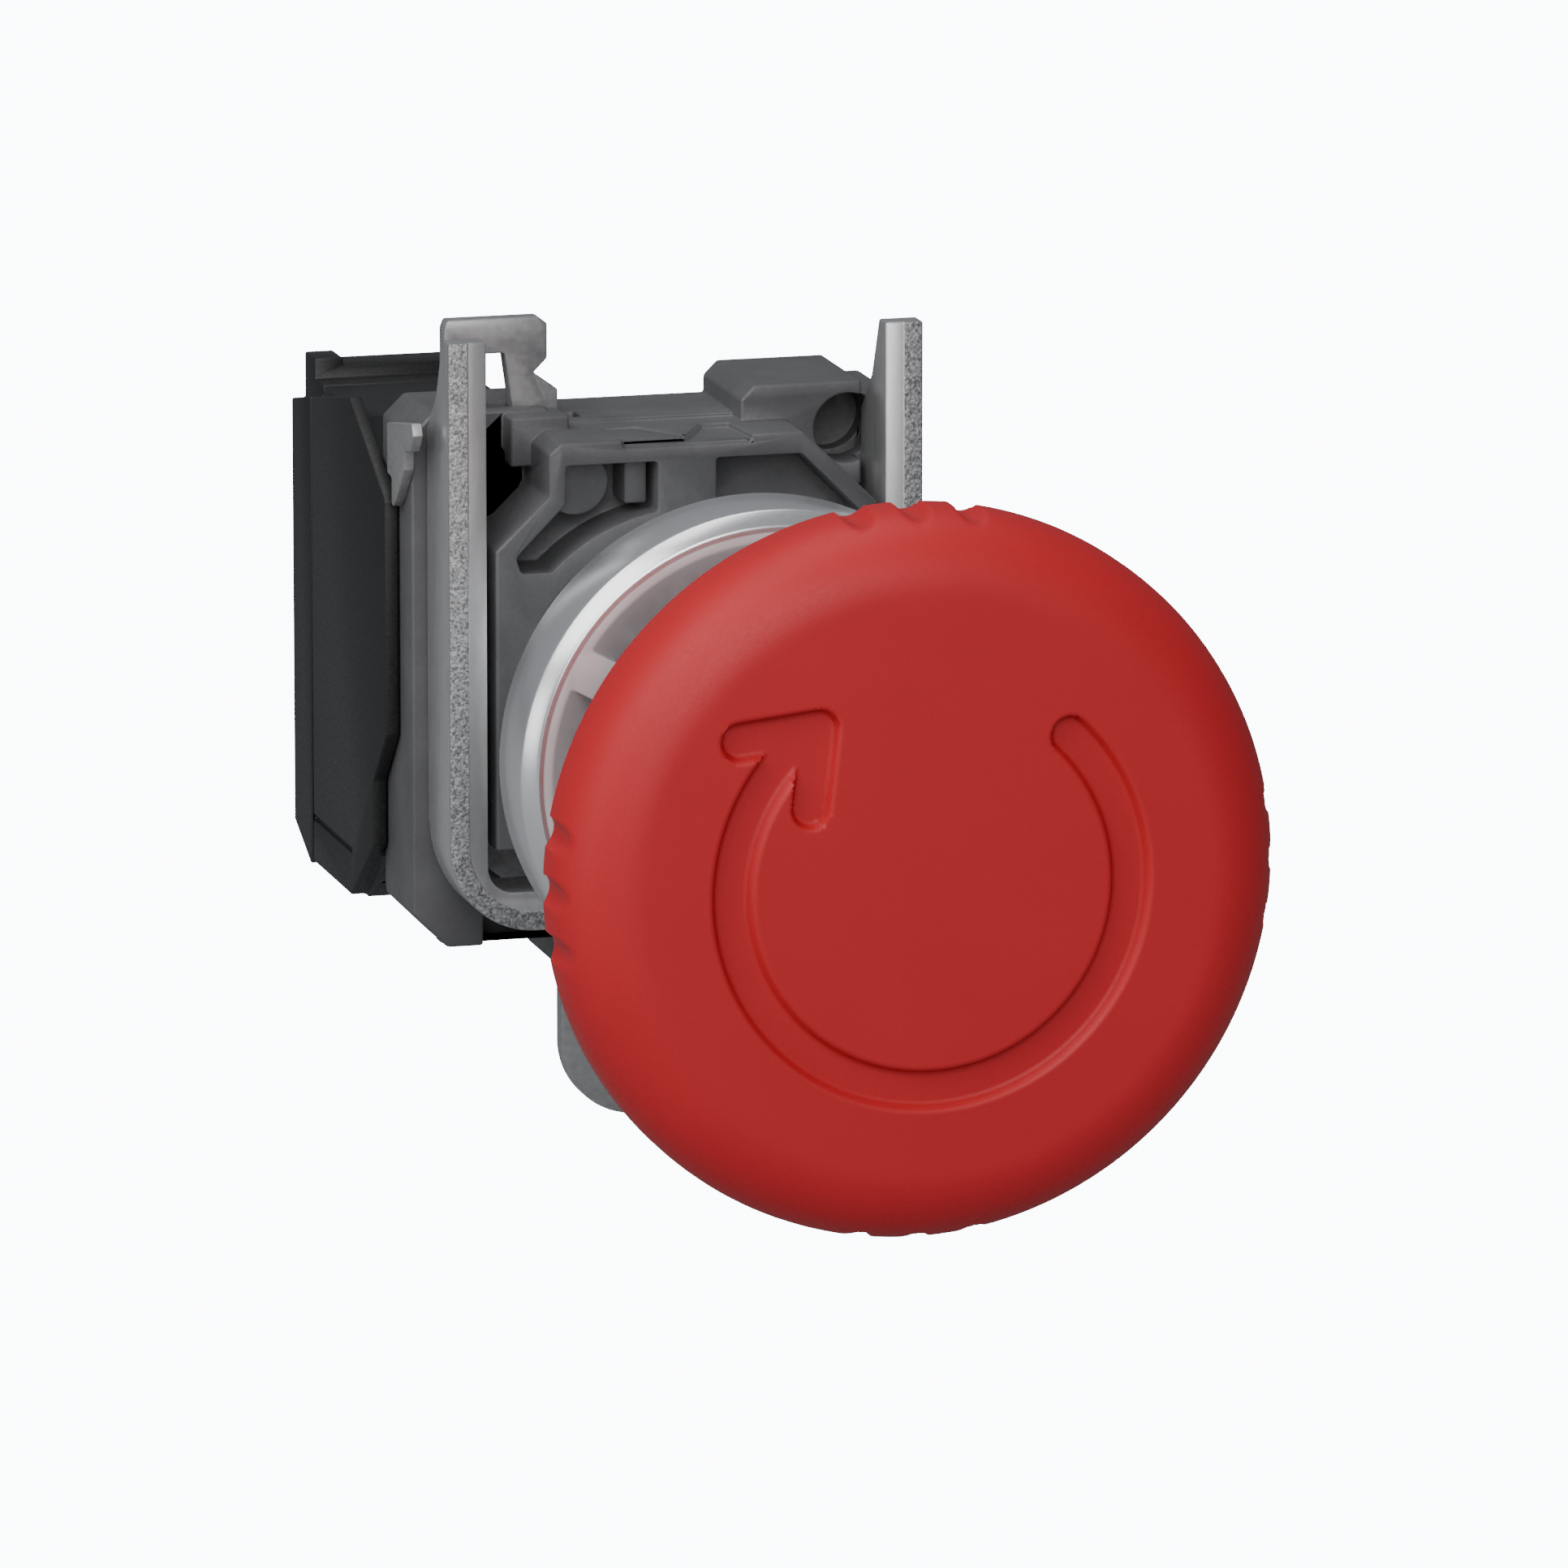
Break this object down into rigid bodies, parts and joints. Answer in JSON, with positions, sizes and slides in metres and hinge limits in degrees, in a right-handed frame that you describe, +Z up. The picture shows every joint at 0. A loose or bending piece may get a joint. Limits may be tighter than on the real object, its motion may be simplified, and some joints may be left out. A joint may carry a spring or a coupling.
{
  "type": "emergency stop button",
  "caption": "Panel-mounted emergency stop button: red turn-to-release mushroom cap, chromed bezel, fixing collar with clamp yoke, and one contact block.",
  "frame": {"origin": "on the button's axis, in the plane of the panel's front face, where the bezel seats", "axes": "+X to the right seen from the front, +Y back through the panel, +Z up"},
  "size_m": [0.04, 0.0822, 0.0466],
  "materials": {
    "cap_plastic": "moulded red plastic, semi-gloss",
    "core_plastic": "dark grey glass-filled plastic",
    "bezel_chrome": "satin chrome plate",
    "rubber_black": "moulded rubber",
    "zinc_dark": "dark passivated zinc casting",
    "yoke_steel": "bright zinc-plated steel",
    "steel_bright": "bright steel",
    "spring_steel": "drawn spring wire",
    "block_black": "black moulded plastic",
    "plunger_red": "red moulded plastic",
    "contact_brass": "silver-tipped brass strip"
  },
  "bodies": {
    "head": {"bezel": "bezel_chrome", "panel_gasket": "rubber_black", "stem_seal": "rubber_black", "pawl_housing": "core_plastic", "spring_seat": "steel_bright", "retaining_ring": "spring_steel", "pawl_spring_left": "spring_steel", "pawl_spring_right": "spring_steel", "return_spring": "spring_steel"},
    "actuator": {"spindle": "steel_bright", "cap_clip": "spring_steel", "pusher_clip": "spring_steel", "rear_pusher": "core_plastic", "turn_spring": "spring_steel"},
    "cap": {"mushroom_cap": "cap_plastic", "cap_core": "core_plastic"},
    "pawl_left": {"latch_pawl_left": "steel_bright"},
    "pawl_right": {"latch_pawl_right": "steel_bright"},
    "collar": {"collar_frame": "zinc_dark", "side_hook": "steel_bright", "block_housing": "block_black", "block_cover": "block_black", "fixed_contact_upper": "contact_brass", "fixed_contact_lower": "contact_brass", "latch_spring": "spring_steel", "plunger_spring": "spring_steel"},
    "yoke": {"clamp_yoke": "yoke_steel"},
    "yoke_screw": {"clamp_screw": "steel_bright"},
    "latch": {"latch_plate": "steel_bright"},
    "plunger": {"block_plunger": "plunger_red", "contact_bridge": "contact_brass", "contact_spring": "spring_steel"},
    "clamp_upper": {"terminal_clamp_upper": "steel_bright"},
    "clamp_lower": {"terminal_clamp_lower": "steel_bright"},
    "screw_upper": {"terminal_screw_upper": "steel_bright"},
    "screw_lower": {"terminal_screw_lower": "steel_bright"}
  },
  "joints": [
    {"name": "press", "type": "slide", "parent": "head", "child": "actuator", "axis": [0, 1, 0], "range_m": [0, 0.004], "stiffness_N_per_m": 2500, "springref_m": -0.006, "deforming": ["return_spring"]},
    {"name": "turn_release", "type": "hinge", "parent": "actuator", "child": "cap", "pos_m": [0, -0.02, 0], "axis": [0, 1, 0], "range_deg": [0, 45], "stiffness_Nm_per_rad": 0.03, "springref_deg": -34.38},
    {"name": "pawl_left_slide", "type": "slide", "parent": "head", "child": "pawl_left", "axis": [1, 0, 0], "range_m": [0, 0.0008], "deforming": ["pawl_spring_left"]},
    {"name": "pawl_right_slide", "type": "slide", "parent": "head", "child": "pawl_right", "axis": [-1, 0, 0], "range_m": [0, 0.0008], "deforming": ["pawl_spring_right"]},
    {"name": "collar_release", "type": "slide", "parent": "head", "child": "collar", "axis": [0, 1, 0], "range_m": [0, 0.045]},
    {"name": "latch_lift", "type": "slide", "parent": "collar", "child": "latch", "axis": [0, 0, 1], "range_m": [0, 0.0012], "stiffness_N_per_m": 100, "springref_m": -0.002, "deforming": ["latch_spring"]},
    {"name": "yoke_slide", "type": "slide", "parent": "collar", "child": "yoke", "axis": [0, -1, 0], "range_m": [0, 0.0098]},
    {"name": "clamp_screw_turn", "type": "hinge", "parent": "yoke", "child": "yoke_screw", "pos_m": [0, 0.028, -0.01175], "axis": [0, -1, 0], "range_deg": [0, 5040]},
    {"name": "plunger_slide", "type": "slide", "parent": "collar", "child": "plunger", "axis": [0, 1, 0], "range_m": [0, 0.004], "deforming": ["plunger_spring"]},
    {"name": "terminal_screw_upper_turn", "type": "hinge", "parent": "collar", "child": "screw_upper", "pos_m": [-0.0105, 0.038, 0.01], "axis": [0, -1, 0], "range_deg": [0, 1440]},
    {"name": "terminal_clamp_upper_slide", "type": "slide", "parent": "collar", "child": "clamp_upper", "axis": [0, 1, 0], "range_m": [0, 0.0024]},
    {"name": "terminal_screw_lower_turn", "type": "hinge", "parent": "collar", "child": "screw_lower", "pos_m": [-0.0105, 0.038, -0.01], "axis": [0, -1, 0], "range_deg": [0, 1440]},
    {"name": "terminal_clamp_lower_slide", "type": "slide", "parent": "collar", "child": "clamp_lower", "axis": [0, 1, 0], "range_m": [0, 0.0024]}
  ],
  "couplings": [
    {"joint": "pawl_left_slide", "follows": "press", "ratio": 0.2},
    {"joint": "pawl_right_slide", "follows": "press", "ratio": 0.2},
    {"joint": "plunger_slide", "follows": "press", "ratio": 1},
    {"joint": "clamp_screw_turn", "follows": "yoke_slide", "rad_per_m": 8975.9},
    {"joint": "terminal_screw_upper_turn", "follows": "terminal_clamp_upper_slide", "rad_per_m": 10472},
    {"joint": "terminal_screw_lower_turn", "follows": "terminal_clamp_lower_slide", "rad_per_m": 10472}
  ]
}
